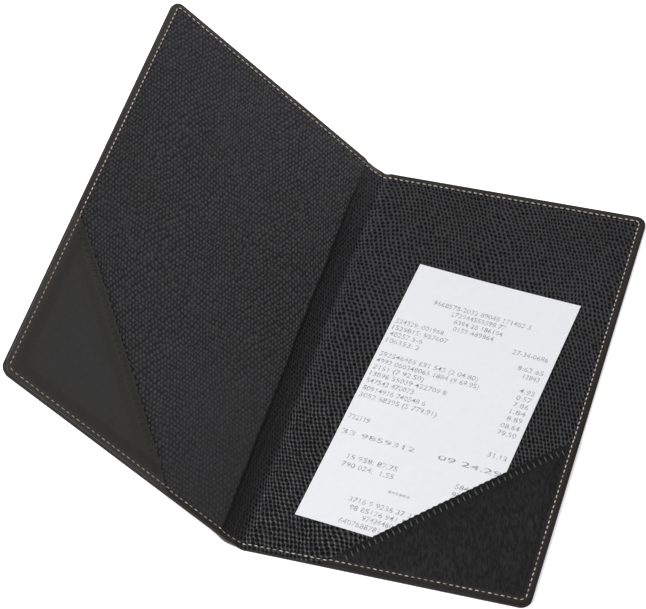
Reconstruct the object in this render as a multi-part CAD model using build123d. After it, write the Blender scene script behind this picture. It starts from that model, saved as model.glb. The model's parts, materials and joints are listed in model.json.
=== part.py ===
from build123d import *

import os
from math import atan2, cos, degrees, floor, radians, sin

# Guest check presenter: two stiffened leather covers joined by a soft leather spine.
# The back cover lies on the table, the front cover stands part open, each cover has a
# corner pocket, and a guest check is tucked into the pocket of the back cover.
#
# Frame: +Y runs along the spine to the head, +X from the spine to the back cover's
# fore-edge, +Z up. The origin is the centre of the whole presenter on the table.
#
# Each cover is drawn lying flat with its crease at the local origin: +X runs to the
# fore-edge and z = 0 is the top of the outer leather, which is where it creases.

# ---- covers
cover_length = 230.0
cover_width = 129.5
corner_radius = 5.0
outer_leather = 0.9
board_thickness = 1.0
lining_leather = 0.7
board_setback = 0.2
edge_round = 0.4

# ---- spine: a strip of leather with a crease on each side
spine_width = 8.5
back_fold_angle = 34.0
front_fold_angle = 11.0
fold_clearance = 0.4
spine_lining_setback = 0.3

# ---- where each stiff board starts, measured from its crease
back_board_start = 3.0
front_board_start = 5.6

# ---- seam round the edge
seam_margin = 2.5
stitch_pitch = 2.85
stitch_length = 2.0
thread_width = 0.65
thread_height = 0.3
channel_width = 1.3
channel_depth = 0.35

# ---- corner pockets
pocket_leg = 93.5
pocket_leather = 0.8
pocket_flat_border = 4.1
pocket_rise_run = 6.0
hem_width = 8.0
hem_slot = 0.3
hem_stitch_line = 3.3
hem_stitch_pitch = 3.5
hem_stitch_length = 3.4
hem_stitch_slant = 12.0

# ---- guest check
check_width = 80.0
check_length = 154.5
check_paper = 0.12
check_gap = 0.05
check_turn = -5.5
check_left_from_crease = 32.2
check_top_from_foot = 176.3

# ---- levels above the crease
lining_top = board_thickness + lining_leather
pocket_rise = hem_slot + pocket_leather
pocket_top = lining_top + pocket_rise + pocket_leather
lining_start = lining_leather + fold_clearance
half_length = cover_length / 2
round_radius = min(edge_round, outer_leather / 2.2, lining_leather / 1.6)
open_angle = back_fold_angle + front_fold_angle

# The origin lies midway between the back cover's fore-edge and the front cover's
# rounded outer edge, which is the furthest point to the left.
front_reach = (
    spine_width * cos(radians(back_fold_angle))
    + (cover_width - round_radius) * cos(radians(open_angle))
    + (outer_leather - round_radius) * sin(radians(open_angle))
    + round_radius
)
crease_x = (front_reach - cover_width) / 2


def plate(start, inset, bottom, top):
    """A flat layer of a cover from start to the fore-edge, drawn in by inset."""
    width = cover_width - inset - start
    outline = Pos(start + width / 2, 0) * Rectangle(width, cover_length - 2 * inset)
    fore_corners = outline.vertices().group_by(Axis.X)[-1]
    outline = fillet(fore_corners, max(corner_radius - inset, 0.5))
    return Pos(0, 0, bottom) * extrude(outline, top - bottom)


def round_edges_at(solid, level, keep_square_at):
    """Round the edges of a flat layer that lie at one level, but not its spine edge."""
    edges = [
        edge
        for edge in solid.edges()
        if abs(edge.center().Z - level) < 0.01 and edge.center().X > keep_square_at + 0.01
    ]
    return fillet(edges, round_radius)


def outer_leather_layer():
    """The outer skin: rounded outer edge, and a channel where the seam is sunk in."""
    skin = round_edges_at(plate(0, 0, -outer_leather, 0), -outer_leather, 0)
    half_channel = channel_width / 2
    floor_level = -outer_leather + channel_depth
    channel = plate(-1, seam_margin - half_channel, -outer_leather, floor_level)
    channel -= plate(-1, seam_margin + half_channel, -outer_leather, floor_level)
    return skin - channel


def board_layer(board_start):
    """The stiff board, which stops short of the crease and of the leather's edges."""
    return plate(board_start, board_setback, 0, board_thickness)


def lining_layer(board_start):
    """The embossed lining: over the board, down its edge, and low beside the crease."""
    step = board_start - lining_leather
    sheet = round_edges_at(plate(step, 0, board_thickness, lining_top), lining_top, step)
    low_width = board_start - lining_start
    low_strip = Pos(lining_start + low_width / 2, 0, lining_leather / 2)
    sheet += low_strip * Box(low_width, cover_length, lining_leather)
    riser = Pos(step + lining_leather / 2, 0, board_thickness / 2)
    sheet += riser * Box(lining_leather, cover_length, board_thickness)
    step_edge = [
        edge
        for edge in sheet.edges()
        if abs(edge.center().Z - lining_top) < 0.01 and abs(edge.center().X - step) < 0.01
    ]
    return fillet(step_edge, lining_leather * 0.8)


def seam_line(start):
    """The path of the edge seam on one cover, from head to foot round the fore-edge."""
    far = cover_width - seam_margin
    side = half_length - seam_margin
    turn_radius = max(corner_radius - seam_margin, 0.5)
    return FilletPolyline(
        (start, side), (far, side), (far, -side), (start, -side), radius=turn_radius
    )


def lining_level(point, board_start):
    """The level that a stitch lies on, or None where it would meet the lining's step."""
    reach = (stitch_length + thread_width) / 2
    from_corner = (cover_width - point.X) + (point.Y + half_length)
    if from_corner < pocket_leg + reach:
        return lining_top + pocket_leather
    rounded_step = board_start - lining_leather * 0.2
    if point.X - reach > rounded_step:
        return lining_top
    if point.X + reach < board_start - lining_leather:
        return lining_leather
    return None


def stitch(point, along, bottom, height):
    """One stitch: a short bar of thread lying along the seam."""
    direction = degrees(atan2(along.Y, along.X))
    place = Pos(point.X, point.Y, bottom + height / 2) * Rot(0, 0, direction)
    return place * Box(stitch_length, thread_width, height)


def edge_stitches(board_start):
    """The thread on the lining side, riding over the pocket where that is sewn down."""
    line = seam_line(lining_start)
    count = round(line.length / stitch_pitch)
    bars = []
    for i in range(count):
        at = (i + 0.5) / count
        point = line @ at
        level = lining_level(point, board_start)
        if level is not None:
            bars.append(stitch(point, line % at, level, thread_height))
    return Compound(bars)


def bobbin_stitches():
    """The thread on the outer side, flush in its channel."""
    line = seam_line(0)
    count = round(line.length / stitch_pitch)
    level = -outer_leather + channel_depth - thread_height
    bars = []
    for i in range(count):
        at = (i + 0.5) / count
        bars.append(stitch(line @ at, line % at, level, thread_height))
    return Compound(bars)


def corner_block(border, reach, level):
    """A square at one level whose outer sides stand back from the corner by border."""
    side = reach - border
    centre_x = cover_width - border - side / 2
    centre_y = -half_length + border + side / 2
    return Pos(centre_x, centre_y, level) * Rectangle(side, side)


def raised_pad(bottom, height):
    """A pad that rises from the pocket's sewn border to a flat top."""
    reach = pocket_leg * 1.5
    foot = corner_block(pocket_flat_border, reach, bottom)
    crown = corner_block(pocket_flat_border + pocket_rise_run, reach, bottom + height)
    return loft([foot.face(), crown.face()], ruled=True)


def diagonal_wedge(from_edge, to_edge):
    """All that lies between two distances in from the pocket's diagonal edge."""
    root_two = 2**0.5
    depth = to_edge - from_edge
    middle = pocket_leg / root_two - from_edge - depth / 2
    tall = 4 * pocket_top
    place = Pos(cover_width, -half_length, 0) * Rot(0, 0, 135) * Pos(middle, 0, 0)
    return place * Box(depth, 3 * pocket_leg, tall)


def pocket():
    """The corner pocket: sewn down at the cover's edges, its diagonal hemmed and open."""
    sewn = plate(0, 0, lining_top, lining_top + pocket_leather)
    shell = sewn + raised_pad(lining_top + pocket_leather, pocket_rise)
    hollow = raised_pad(lining_top, pocket_rise)
    shell -= hollow
    hem = hollow & diagonal_wedge(0, hem_width)
    slot_cut = Pos(0, 0, lining_top + hem_slot - pocket_top)
    hem -= slot_cut * Box(4 * cover_width, 2 * cover_length, 2 * pocket_top)
    return (shell & diagonal_wedge(0, pocket_leg)) + hem


def hem_stitches():
    """The row of slanted stitches that holds the pocket's turned hem."""
    root_two = 2**0.5
    flat_border = pocket_flat_border + pocket_rise_run + hem_stitch_length
    row_offset = pocket_leg / root_two - hem_stitch_line
    half_row = row_offset - flat_border * root_two
    count = floor(2 * half_row / hem_stitch_pitch)
    corner = Pos(cover_width, -half_length, pocket_top + thread_height / 2)
    bars = []
    for i in range(count):
        along = (i + 0.5 - count / 2) * hem_stitch_pitch
        place = corner * Rot(0, 0, 135) * Pos(row_offset, along, 0) * Rot(0, 0, hem_stitch_slant)
        bars.append(place * Box(hem_stitch_length, thread_width, thread_height))
    return Compound(bars)


def spine_outer():
    """The outer leather between the creases, with the seam's channel at head and foot."""
    strip = Pos(-spine_width / 2, 0, -outer_leather / 2)
    strip = strip * Box(spine_width, cover_length, outer_leather)
    for side in (-1, 1):
        groove = Pos(-spine_width / 2, side * (half_length - seam_margin), -outer_leather)
        strip -= groove * Box(2 * spine_width, channel_width, 2 * channel_depth)
    return strip


def spine_inner():
    """The lining between the creases, sunk between the two boards."""
    width = spine_width - 2 * spine_lining_setback
    return Pos(-spine_width / 2, 0, lining_leather / 2) * Box(width, cover_length, lining_leather)


def spine_stitches(bottom):
    """The seam's stitches that cross the spine at head and foot."""
    room = spine_width - 2 * spine_lining_setback
    count = floor(room / stitch_pitch)
    bars = []
    for side in (-1, 1):
        for i in range(count):
            across = -spine_width / 2 + (i + 0.5 - count / 2) * room / count
            point = Vector(across, side * (half_length - seam_margin), 0)
            bars.append(stitch(point, Vector(1, 0, 0), bottom, thread_height))
    return Compound(bars)


def guest_check():
    """The slip of paper, turned a little and tucked into the back cover's pocket."""
    level = lining_top + check_gap + check_paper / 2
    top_left = Pos(check_left_from_crease, check_top_from_foot - half_length, level)
    sheet = Pos(check_width / 2, -check_length / 2, 0) * Box(check_width, check_length, check_paper)
    return top_left * Rot(0, 0, check_turn) * sheet


def cover_pieces(board_start):
    """The pieces of one cover, lying flat with the crease at the origin."""
    return {
        "outer_leather": outer_leather_layer(),
        "board": board_layer(board_start),
        "lining": lining_layer(board_start),
        "pocket": pocket(),
        "hem_stitches": hem_stitches(),
        "edge_stitches": edge_stitches(board_start),
        "bobbin_stitches": bobbin_stitches(),
    }


# ---- where each group lies: the spine turns at the back crease, the front cover at the
# ---- front crease, and both turn about +Y
back_place = Pos(crease_x, 0, outer_leather)
spine_place = back_place * Rot(0, back_fold_angle, 0)
front_place = spine_place * Pos(-spine_width, 0, 0) * Rot(0, front_fold_angle, 0)

nodes = {}
for name, piece in cover_pieces(back_board_start).items():
    nodes["back_" + name] = back_place * piece
for name, piece in cover_pieces(front_board_start).items():
    nodes["front_" + name] = front_place * mirror(piece, about=Plane.YZ)
nodes["spine_outer_leather"] = spine_place * spine_outer()
nodes["spine_lining"] = spine_place * spine_inner()
nodes["spine_edge_stitches"] = spine_place * spine_stitches(lining_leather)
nodes["spine_bobbin_stitches"] = spine_place * spine_stitches(
    -outer_leather + channel_depth - thread_height
)
nodes["guest_check"] = back_place * guest_check()

os.makedirs("parts", exist_ok=True)
for name, piece in nodes.items():
    export_step(piece, os.path.join("parts", name + ".step"))

front_crease = front_place.position
print("back crease", round(crease_x, 4), 0, outer_leather)
print("front crease", round(front_crease.X, 4), 0, round(front_crease.Z, 4))
box = Compound(list(nodes.values())).bounding_box()
print("box", box.min, box.max)
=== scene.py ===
"""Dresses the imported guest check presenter: two stitched leather covers on a soft spine,
a hemmed corner pocket in each cover and a guest check tucked into one of them.

Every leather sheet is worked out on one developed strip, laid flat: s runs across it in
mm from the back crease (positive on the back cover, negative over the spine and the front
cover), y runs along the spine and h is the height above the outer leather's inner face.
fold() then turns the strip about the two creases into the open pose of the frame.
"""

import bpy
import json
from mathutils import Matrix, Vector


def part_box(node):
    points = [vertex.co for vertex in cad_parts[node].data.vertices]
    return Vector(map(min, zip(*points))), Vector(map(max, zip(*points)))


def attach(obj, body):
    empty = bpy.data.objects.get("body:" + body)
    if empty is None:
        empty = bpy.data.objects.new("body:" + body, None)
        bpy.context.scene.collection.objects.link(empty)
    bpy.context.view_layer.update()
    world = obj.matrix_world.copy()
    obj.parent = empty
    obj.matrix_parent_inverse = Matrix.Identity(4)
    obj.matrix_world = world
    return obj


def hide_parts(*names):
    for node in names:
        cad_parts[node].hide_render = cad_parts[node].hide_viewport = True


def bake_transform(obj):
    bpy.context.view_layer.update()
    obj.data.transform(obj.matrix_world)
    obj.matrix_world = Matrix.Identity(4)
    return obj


bl_info = {
    "name": "Guest check presenter",
    "version": (1, 0, 0),
    "blender": (4, 5, 0),
    "location": "3D View > Sidebar > Presenter",
    "description": "Builds stitched leather, pockets and a guest check on the packed frame",
    "category": "Object",
}

import json
from math import atan2, cos, pi, radians, sin, sqrt

import bpy
import numpy as np
from bpy.props import FloatProperty, FloatVectorProperty, IntProperty, PointerProperty
from mathutils import Matrix, Vector

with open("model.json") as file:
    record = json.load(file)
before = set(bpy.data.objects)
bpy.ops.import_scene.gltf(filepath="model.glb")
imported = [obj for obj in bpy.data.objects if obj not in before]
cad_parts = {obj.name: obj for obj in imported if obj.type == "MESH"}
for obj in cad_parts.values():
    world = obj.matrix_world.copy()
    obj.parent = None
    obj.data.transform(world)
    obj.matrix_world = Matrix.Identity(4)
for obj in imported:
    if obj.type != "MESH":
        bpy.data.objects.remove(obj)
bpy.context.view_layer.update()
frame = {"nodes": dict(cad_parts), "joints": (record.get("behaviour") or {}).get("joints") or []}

MM = 0.001
ROOT_TWO = sqrt(2)
SIDES = (("back", False), ("front", True))

# ---- sizes read from the frame, in mm
JOINTS = {joint["name"]: joint for joint in frame["joints"]}
BACK_CREASE = np.array(JOINTS["back_crease"]["pos_m"]) / MM
FRONT_CREASE = np.array(JOINTS["front_crease"]["pos_m"]) / MM
BACK_ANGLE = radians(-JOINTS["back_crease"]["range_deg"][0])
FRONT_ANGLE = radians(-JOINTS["front_crease"]["range_deg"][0])
SPINE_WIDTH = float(np.linalg.norm(FRONT_CREASE - BACK_CREASE))
MID_SPINE = -SPINE_WIDTH / 2


def node_top(node):
    """The highest level of a node of the back cover above its crease, mm."""
    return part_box(node)[1].z / MM - BACK_CREASE[2]


COVER_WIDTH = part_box("back_outer_leather")[1].x / MM - BACK_CREASE[0]
HALF_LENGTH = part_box("back_outer_leather")[1].y / MM
OUTER_THICKNESS = float(BACK_CREASE[2])
BOARD_TOP = node_top("back_board")
LINING_TOP = node_top("back_lining")
POCKET_TOP = node_top("back_pocket")
POCKET_LEG = (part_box("back_pocket")[1].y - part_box("back_pocket")[0].y) / MM
POCKET_REACH = POCKET_LEG / ROOT_TWO
BACK_BOARD_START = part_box("back_board")[0].x / MM - BACK_CREASE[0]
FRONT_BOARD_START = 5.6
SLIDE = JOINTS["check_slide"]["axis"]
CHECK_TURN = -atan2(SLIDE[0], SLIDE[1])
CHECK_LOW, CHECK_HIGH = (np.array(corner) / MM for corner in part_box("guest_check"))

# ---- fixed sizes of the build, in mm
CORNER_RADIUS = 5.0
EDGE_ROUND = 0.42
EDGE_FINE = 0.8
BEND_HALF = 3.0
SPINE_LEVEL = 0.78
POCKET_LEATHER = 0.8
POCKET_EDGE_ROUND = 0.35
SEWN_BORDER = 3.1
RISE_RUN = 6.0
FOLD_RADIUS = 0.8
NOTCH_DEPTH = 0.2
STITCH_SINK = 0.16
HEM_CLEARANCE = 1.6
HEM_SINK = 0.02
HEM_THREAD = (0.66, 0.45)  # width and height
CHECK_PAPER = 0.12
PRINT_SIZE = 3.9
PRINT_LIFT = 0.012
FLOOR_DROP = 0.1
POCKET_RISE = POCKET_TOP - LINING_TOP - POCKET_LEATHER

# ---- the seam thread's height over its width
STITCH_FLATNESS = 0.72

# ---- the lining's grid steps, mm: over the spine, over a cover and along the length. They
# keep each sheet under 200,000 triangles.
SPINE_STEP, COVER_STEP, LENGTH_STEP = 0.36, 0.585, 0.615
SPINE_END = 7.5

# ---- how far an embossed cell's outline wavers, its middle strays and its size varies,
# as shares of a cell
CELL_WOBBLE = 0.42
CELL_SHIFT = 0.2
CELL_SPREAD = 0.24


# ------------------------------------------------------------------ numbers and grids
def smooth(t):
    """Smoothstep: 3t^2 - 2t^3 with t held between 0 and 1."""
    t = np.clip(t, 0.0, 1.0)
    return t * t * (3.0 - 2.0 * t)


def bell(x, centre, width):
    """A Gaussian bell: exp of minus the square of (x - centre) over width."""
    return np.exp(-(((x - centre) / width) ** 2))


def wave_sum(x, y, terms):
    """A sum of sines. Each term is (size, wavelength, direction in degrees, phase)."""
    total = np.zeros(np.broadcast(x, y).shape)
    for size, length, angle, phase in terms:
        along = x * cos(radians(angle)) + y * sin(radians(angle))
        total = total + size * np.sin(2 * pi * along / length + phase)
    return total


def stations(*runs):
    """Grid lines: each run is (from, to, step), joined without repeats."""
    parts = []
    for low, high, step in runs:
        count = max(int(round((high - low) / step)), 1)
        parts.append(np.linspace(low, high, count + 1))
    return np.unique(np.round(np.concatenate(parts), 5))


def joined(*parts):
    """Several sets of grid lines in one, without repeats."""
    return np.unique(np.concatenate(parts))


def along_edge(inner, outer, step):
    """Grid lines from inner to an outer edge at outer, closer over its rounding."""
    rounding = outer - np.array([0.0, 0.03, 0.1, 0.2, 0.32, EDGE_ROUND])
    return joined(stations((inner, outer - EDGE_FINE, step)), rounding)


def both_ways(half):
    """Grid lines from foot to head, from those of the head half."""
    return np.concatenate([-half[:0:-1], half])


def from_edge(s, y):
    """The distance inwards from the head, foot or fore-edge, mm, on either cover."""
    reach = np.abs(s - MID_SPINE) + MID_SPINE
    return np.minimum(COVER_WIDTH - reach, HALF_LENGTH - np.abs(y))


def round_corners(s, y):
    """Moves a grid's corner squares onto quarter discs of CORNER_RADIUS: a point at
    (a, b) of the square goes to (a, b) times max(a, b) / hypot(a, b)."""
    flat_s, flat_y = COVER_WIDTH - CORNER_RADIUS, HALF_LENGTH - CORNER_RADIUS
    side = np.where(s > MID_SPINE, 1.0, -1.0)
    reach = side * (s - MID_SPINE) + MID_SPINE
    a = (reach - flat_s) / CORNER_RADIUS
    b = (np.abs(y) - flat_y) / CORNER_RADIUS
    corner = (a > 0) & (b > 0)
    share = np.where(corner, np.maximum(a, b) / np.maximum(np.hypot(a, b), 1e-9), 1.0)
    reach = np.where(corner, flat_s + a * share * CORNER_RADIUS, reach)
    y = np.where(corner, np.sign(y) * (flat_y + b * share * CORNER_RADIUS), y)
    return side * (reach - MID_SPINE) + MID_SPINE, y


def edge_drop(e, radius=EDGE_ROUND):
    """How far a rounded edge falls at a distance e in from it: a quarter circle."""
    inside = np.clip(radius - e, 0.0, radius)
    return radius - np.sqrt(radius**2 - inside**2)


def turn(x, z, angle):
    """Turns points about the origin so that the -x side rises by angle."""
    return x * np.cos(angle) + z * np.sin(angle), -x * np.sin(angle) + z * np.cos(angle)


def fold(s, y, h):
    """The developed strip, mm, turned about both creases into the frame, in metres.
"""
    s, y, h = np.broadcast_arrays(s, y, h)
    share = smooth((BEND_HALF - SPINE_WIDTH - s) / (2 * BEND_HALF))
    x, z = turn(s + SPINE_WIDTH, h, FRONT_ANGLE * share)
    share = smooth((BEND_HALF - s) / (2 * BEND_HALF))
    x, z = turn(x - SPINE_WIDTH, z, BACK_ANGLE * share)
    return np.stack([BACK_CREASE[0] + x, y, BACK_CREASE[2] + z], -1) * MM


def strip_point(s):
    """One point of the folded strip's level h = 0 at mid-length, as a tuple."""
    return tuple(float(c) for c in fold(np.array(s), np.array(0.0), np.array(0.0)))


def mirrored(s, front):
    """A back cover's s, or the s of the same place on the front cover."""
    return -SPINE_WIDTH - s if front else s


# ------------------------------------------------------------------ meshes
def quads_of(index, flip=False):
    """The four-cornered faces of a grid of vertex numbers."""
    corners = (index[:-1, :-1], index[1:, :-1], index[1:, 1:], index[:-1, 1:])
    quads = np.stack(corners, -1).reshape(-1, 4)
    return quads[:, ::-1] if flip else quads


def slab(top, bottom, columns, rows, flip=False):
    """A closed slab: a fine top grid, a coarse bottom grid on the named columns and rows
    of it, and a wall of flat many-sided faces between their borders."""
    n, m = top.shape[:2]
    upper = np.arange(n * m).reshape(n, m)
    lower = n * m + np.arange(len(columns) * len(rows)).reshape(len(columns), len(rows))
    faces = quads_of(upper).tolist() + quads_of(lower, flip=True).tolist()
    borders = (
        (upper[:, 0], lower[:, 0], columns),
        (upper[-1, :], lower[-1, :], rows),
        (upper[::-1, -1], lower[::-1, -1], n - 1 - columns[::-1]),
        (upper[0, ::-1], lower[0, ::-1], m - 1 - rows[::-1]),
    )
    for edge, under, marks in borders:
        for k in range(len(marks) - 1):
            run = edge[marks[k] : marks[k + 1] + 1]
            faces.append(run[::-1].tolist() + [int(under[k]), int(under[k + 1])])
    if flip:
        faces = [face[::-1] for face in faces]
    verts = np.concatenate([top.reshape(-1, 3), bottom.reshape(-1, 3)])
    return verts, faces


def new_object(name, data):
    """An object that holds data, linked to the scene."""
    item = bpy.data.objects.new(name, data)
    bpy.context.scene.collection.objects.link(item)
    return item


def new_piece(name, verts, faces, material, slot, sharp=40.0, **attributes):
    """A mesh object at the origin, from points in metres, faces and vertex attributes,
    with an edge drawn sharp where its faces turn by more than sharp degrees."""
    mesh = bpy.data.meshes.new(name)
    mesh.from_pydata(verts.reshape(-1, 3).tolist(), [], faces)
    for key, values in attributes.items():
        layer = mesh.attributes.new(key, "FLOAT_VECTOR", "POINT")
        layer.data.foreach_set("vector", values.astype(np.float32).ravel())
    mesh.polygons.foreach_set("use_smooth", np.ones(len(mesh.polygons), bool))
    mesh.set_sharp_from_angle(angle=radians(sharp))
    mesh.materials.append(material)
    mesh.update()
    piece = new_object(name, mesh)
    return piece


def bend(piece, front):
    """Bakes the transform of a piece of one half into its mesh; the ends of that half's bend are
    worked out but not used.
    """
    if front:
        start = strip_point(BEND_HALF - SPINE_WIDTH)
        end = strip_point(-BEND_HALF - SPINE_WIDTH)
        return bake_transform(piece)
    start, end = strip_point(BEND_HALF), strip_point(-BEND_HALF)
    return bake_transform(piece)


def every(count, step, keep_low=0, keep_high=0):
    """Grid line numbers: every step-th, with all of the first and last few."""
    picked = set(range(0, count, step)) | {count - 1}
    picked |= set(range(keep_low)) | set(range(count - keep_high, count))
    return np.array(sorted(picked))


# ------------------------------------------------------------------ the leather's shape
def crease_wander(y):
    """How far the front crease strays sideways along the spine, mm: a sum of sines."""
    terms = [(0.2, 71, 0, 0.4), (0.14, 29, 0, 1.9), (0.1, 11.3, 0, 3.1), (0.06, 5.1, 0, 0)]
    return wave_sum(y, 0 * y, terms)


def front_shelf(s, y):
    """The distance from the front board's soft edge, mm, positive over the board."""
    return -SPINE_WIDTH - s - (FRONT_BOARD_START - 0.6) - crease_wander(y)


def wrinkles(s, y):
    """Fine folds of the soft spine, mm: streaks along it that fan out near the head."""
    lean = 0.16 * y + 0.9 * np.sin(y / 13.0) + 0.02 * np.clip(y - 60, 0, None) ** 1.5
    streaks = np.sin(2 * pi * (s + lean * 0.35) / 1.7 + 1.3 * np.sin(y / 5.3))
    second = np.sin(2 * pi * (s - 0.2 * lean) / 2.9 + 0.8 * np.sin(y / 8.1 + 2.0))
    return 0.045 * streaks * (0.6 + 0.4 * np.sin(y / 3.7 + s)) + 0.05 * second


def soft_zone(s, y):
    """1 where the lining has no board under it, 0 on the covers."""
    over_back = smooth((s + 4.2) / 3.4)
    over_front = smooth((front_shelf(s, y) + 1.2) / 1.8)
    return (1 - over_back) * (1 - over_front)


def lining_level(s, y):
    """The lining's smooth surface, mm: the cover level over the boards, SPINE_LEVEL over
    the soft spine, a low ridge on the back board's edge, a slow slope and then a rounded
    shelf up to the front board, with a shallow crease at its foot."""
    rise = LINING_TOP - SPINE_LEVEL
    beyond = -SPINE_WIDTH - s
    shelf = front_shelf(s, y)
    back = smooth((s + 2.2) / 5.4)
    front = 0.3 * smooth((beyond + 3.0) / 6.0) + 0.7 * smooth((shelf + 1.8) / 2.6)
    level = SPINE_LEVEL + rise * (back + front)
    level = level + 0.08 * bell(s, BACK_BOARD_START + 0.3, 1.3)
    return level - 0.12 * bell(shelf, -1.7, 1.0)


def seam_inset(s, y):
    """How far in from the edge the seam runs, mm: its margin, a little more towards the
    head and on the back cover, as the hand-guided seam drifts."""
    drift = 0.3 * y / HALF_LENGTH + 0.2 * np.tanh((s - MID_SPINE) / 20)
    return sizes().seam_margin / MM + drift


def seam_press(e, s, y):
    """The dip that the seam pulls into the leather, mm: a bell about the seam line."""
    return 0.16 * bell(e, seam_inset(s, y), 0.7)


def scale_coordinates(s, y, scale_width):
    """Where each point lies in the embossed grain: p counts scales along a row and q
    counts rows, each row half a scale further on than the last. Both are the plain
    distance over the scale's size plus slow sines, and p runs faster over the soft spine,
    where the grain is squeezed."""
    squeeze = 1 / 1.75 - 1 / scale_width
    back = -0.8 * np.logaddexp(0, (BACK_BOARD_START - 1 - s) / 0.8)
    front = 0.6 * np.logaddexp(0, (-SPINE_WIDTH - FRONT_BOARD_START - s) / 0.6)
    finer = np.where(s < MID_SPINE, 1.07, 1.0)
    p = (s - MID_SPINE) * finer / (0.93 * scale_width) + squeeze * (back + front)
    slow = [(0.5, 58, 12, 0.6), (0.22, 31, -16, 2.1), (0.3, 90, 80, 4.0), (0.1, 13, -30, 1.0)]
    p = p + wave_sum(s, y, slow) + 0.0016 * np.clip(s - 30, 0, None) ** 1.5
    q = y / (1.03 * scale_width)
    slow = [(0.55, 76, 4, 1.7), (0.24, 33, -12, 5.2), (0.3, 60, 75, 0.9), (0.1, 15, 40, 2.0)]
    q = q + wave_sum(s, y, slow)
    return p, q


def scale_relief(p, q):
    """The embossed scales' height from 0 to 1: in cells sheared by half a scale a row,
    the square root of the product of two cosines across the cell."""
    x, z = np.mod(p + 0.5 * q, 1) - 0.5, np.mod(q, 1) - 0.5
    return np.sqrt(np.clip(np.cos(pi * x) * np.cos(pi * z), 0, 1))


def grain_strength(s, y):
    """How deep the grain shows, 0 to 1: pressed flat outside the seam, save at the back
    cover's foot near the spine."""
    e = from_edge(s, y)
    margin = smooth((e - 2.0) / 0.9)
    kept = smooth((60 - s) / 30) * smooth((-y - 105) / 5) * (s > MID_SPINE)
    return np.maximum(margin, 0.8 * kept)


def grain_contrast(s, y):
    """How crisp the back cover's grain looks, 0 to 1: soft at the head, crisp towards
    the foot and the spine; it sets how strongly the lining's painted reflection, dark tops
    and painted glints show. On the front cover it is how faint the grain's painted sheen
    looks: more so towards the foot and the spine."""
    faint = 0.6 * smooth((10 - y) / 90) * smooth((s + SPINE_WIDTH + 70) / 60)
    near = 0.85 - 0.3 * smooth((s - 25) / 60) - 0.1 * bell(s, 12, 16)
    return np.where(s < MID_SPINE, faint, smooth((70 - y) / 130) * near * smooth((s + 2) / 3))


# ------------------------------------------------------------------ shader helpers
def rgba(colour, gain=1.0):
    """A colour property as four numbers, its colour times gain."""
    return tuple(min(c * gain, 1.0) for c in colour[:3]) + (1.0,)


class Nodes:
    """Makes the nodes of one shader tree. Wherever a node takes a value, it takes a
    socket to link from as well."""

    def __init__(self, tree):
        self.tree = tree

    def feed(self, target, value):
        """Links a socket to the target socket, or sets a plain value there."""
        if isinstance(value, bpy.types.NodeSocket):
            self.tree.links.new(value, target)
        else:
            target.default_value = value

    def add(self, kind, inputs=None, **settings):
        """The outputs of a new node, whose settings are set before its inputs."""
        node = self.tree.nodes.new("ShaderNode" + kind)
        for key, value in settings.items():
            setattr(node, key, value)
        for key, value in (inputs or {}).items():
            self.feed(node.inputs[key], value)
        return node.outputs

    def math(self, operation, *values, clamp=False):
        """The output of a Math node."""
        inputs = dict(enumerate(values))
        return self.add("Math", inputs, operation=operation, use_clamp=clamp)[0]

    def times(self, product, *values):
        """The product of two or more values."""
        for value in values:
            product = self.math("MULTIPLY", product, value)
        return product

    def minus(self, first, second, clamp=False):
        """The first value less the second."""
        return self.math("SUBTRACT", first, second, clamp=clamp)

    def scaled(self, value, gain, shift):
        """A value times gain, plus shift."""
        return self.math("MULTIPLY_ADD", value, gain, shift)

    def off_centre(self, value):
        """How far a value lies from the middle of its whole step."""
        return self.minus(self.math("FRACT", value), 0.5)

    def vector(self, operation, first, second):
        """The vector output of a Vector Math node."""
        return self.add("VectorMath", {0: first, 1: second}, operation=operation)[0]

    def split(self, vector):
        """The X, Y and Z of a vector."""
        return self.add("SeparateXYZ", {0: vector})

    def remap(self, value, low, high, to_low=0.0, to_high=1.0, kind="SMOOTHSTEP"):
        """The output of a Map Range node."""
        inputs = {"Value": value, "From Min": low, "From Max": high}
        inputs.update({"To Min": to_low, "To Max": to_high})
        return self.add("MapRange", inputs, interpolation_type=kind)["Result"]

    def mix(self, factor, first, second, blend="MIX"):
        """The output of a colour Mix node."""
        inputs = {0: factor, 6: first, 7: second}
        return self.add("Mix", inputs, data_type="RGBA", blend_type=blend)[2]

    def tint(self, colour, by):
        """A colour multiplied by another, or by a plain value."""
        return self.mix(1.0, colour, by, blend="MULTIPLY")

    def shades(self, factor, colour, low, high):
        """A mix of low times and high times one colour."""
        return self.mix(factor, rgba(colour, low), rgba(colour, high))

    def noise(self, vector, scale, detail=3.0, roughness=0.55, output="Fac"):
        """The output of a Noise Texture node."""
        inputs = {"Vector": vector, "Scale": scale, "Detail": detail, "Roughness": roughness}
        return self.add("TexNoise", inputs)[output]

    def group(self, tree, **inputs):
        """The outputs of a shared group, placed with its own values."""
        inputs = {key.replace("_", " "): value for key, value in inputs.items()}
        return self.add("Group", inputs, node_tree=tree)


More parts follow.
